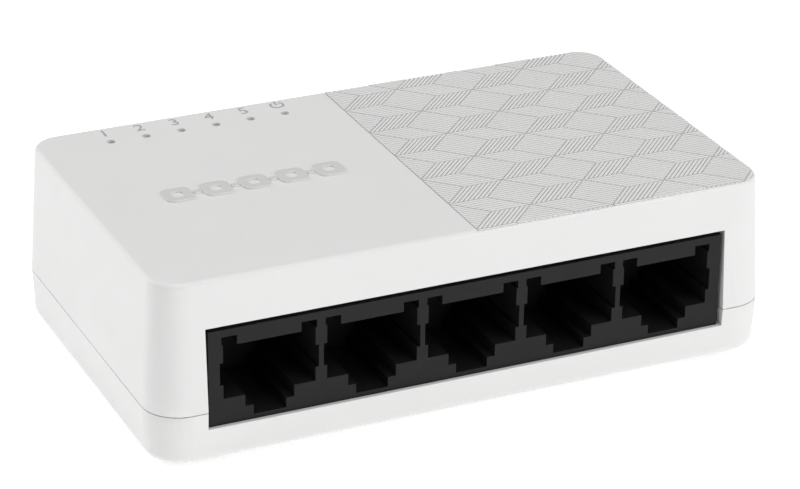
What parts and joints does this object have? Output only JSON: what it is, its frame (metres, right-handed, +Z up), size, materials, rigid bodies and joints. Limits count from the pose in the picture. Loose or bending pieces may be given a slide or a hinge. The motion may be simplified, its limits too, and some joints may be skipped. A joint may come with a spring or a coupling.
{
  "type": "desktop network switch",
  "caption": "Small desktop network switch: white two-part case with a half-textured lid, a row of network sockets in front, indicator holes on top and a power inlet behind.",
  "frame": {"origin": "under the middle of the case, on the surface that the feet stand on", "axes": "+X right along the row of ports, +Y back towards the power inlet, +Z up; the ports face -Y"},
  "size_m": [0.0872, 0.0518, 0.0253],
  "materials": {
    "case_plastic": "fine moulded satin",
    "clear_plastic": "clear, smooth",
    "foot_rubber": "matte",
    "label_film": "satin film, blank",
    "screw_steel": "zinc plated",
    "board_laminate": "solder mask over glass fibre",
    "port_plastic": "fine moulded matte",
    "inlet_plastic": "fine moulded matte",
    "contact_gold": "gold-plated spring wire",
    "inlet_contact": "nickel-plated brass",
    "tinned_leads": "tin plated",
    "chip_epoxy": "moulded epoxy",
    "can_metal": "drawn can",
    "base_plastic": "moulded matte",
    "ferrite": "pressed and sintered",
    "led_ceramic": "moulded matte",
    "led_resin": "cast clear resin",
    "resistor_film": "glazed film",
    "capacitor_ceramic": "fired ceramic"
  },
  "bodies": {
    "switch": {"top_cover": "case_plastic", "bottom_tray": "case_plastic", "light_guide": "clear_plastic", "rubber_feet": "foot_rubber", "rating_label": "label_film", "case_screws": "screw_steel", "circuit_board": "board_laminate", "port_block": "port_plastic", "contact_carriers": "port_plastic", "contact_tails": "contact_gold", "power_inlet_body": "inlet_plastic", "power_inlet_pin": "inlet_contact", "power_inlet_terminals": "tinned_leads", "switch_chip": "chip_epoxy", "switch_chip_leads": "tinned_leads", "line_transformers": "chip_epoxy", "transformer_leads": "tinned_leads", "crystal_can": "can_metal", "crystal_base": "base_plastic", "capacitor_cans": "can_metal", "capacitor_bases": "base_plastic", "power_inductor": "ferrite", "inductor_terminals": "tinned_leads", "regulator_chip": "chip_epoxy", "regulator_leads": "tinned_leads", "memory_chip": "chip_epoxy", "memory_chip_leads": "tinned_leads", "protection_diode": "chip_epoxy", "diode_terminals": "tinned_leads", "led_bases": "led_ceramic", "led_lenses": "led_resin", "chip_resistors": "resistor_film", "resistor_ends": "tinned_leads", "chip_capacitors": "capacitor_ceramic", "chip_capacitor_ends": "tinned_leads"},
    "port_1_springs": {"port_1_contacts": "contact_gold"},
    "port_2_springs": {"port_2_contacts": "contact_gold"},
    "port_3_springs": {"port_3_contacts": "contact_gold"},
    "port_4_springs": {"port_4_contacts": "contact_gold"},
    "port_5_springs": {"port_5_contacts": "contact_gold"},
    "inlet_spring": {"power_inlet_leaf": "inlet_contact"}
  },
  "joints": [
    {"name": "port_1_contact_flex", "type": "hinge", "parent": "switch", "child": "port_1_springs", "pos_m": [-0.02812, -0.0234, 0.0166], "axis": [1, 0, 0], "range_deg": [0, 12], "stiffness_Nm_per_rad": 0.05},
    {"name": "port_2_contact_flex", "type": "hinge", "parent": "switch", "child": "port_2_springs", "pos_m": [-0.01415, -0.0234, 0.0166], "axis": [1, 0, 0], "range_deg": [0, 12], "stiffness_Nm_per_rad": 0.05},
    {"name": "port_3_contact_flex", "type": "hinge", "parent": "switch", "child": "port_3_springs", "pos_m": [-0.00018, -0.0234, 0.0166], "axis": [1, 0, 0], "range_deg": [0, 12], "stiffness_Nm_per_rad": 0.05},
    {"name": "port_4_contact_flex", "type": "hinge", "parent": "switch", "child": "port_4_springs", "pos_m": [0.01379, -0.0234, 0.0166], "axis": [1, 0, 0], "range_deg": [0, 12], "stiffness_Nm_per_rad": 0.05},
    {"name": "port_5_contact_flex", "type": "hinge", "parent": "switch", "child": "port_5_springs", "pos_m": [0.02776, -0.0234, 0.0166], "axis": [1, 0, 0], "range_deg": [0, 12], "stiffness_Nm_per_rad": 0.05},
    {"name": "inlet_leaf_flex", "type": "hinge", "parent": "switch", "child": "inlet_spring", "pos_m": [0.026, 0.0164, 0.00785], "axis": [1, 0, 0], "range_deg": [-5, 0], "stiffness_Nm_per_rad": 0.1}
  ]
}
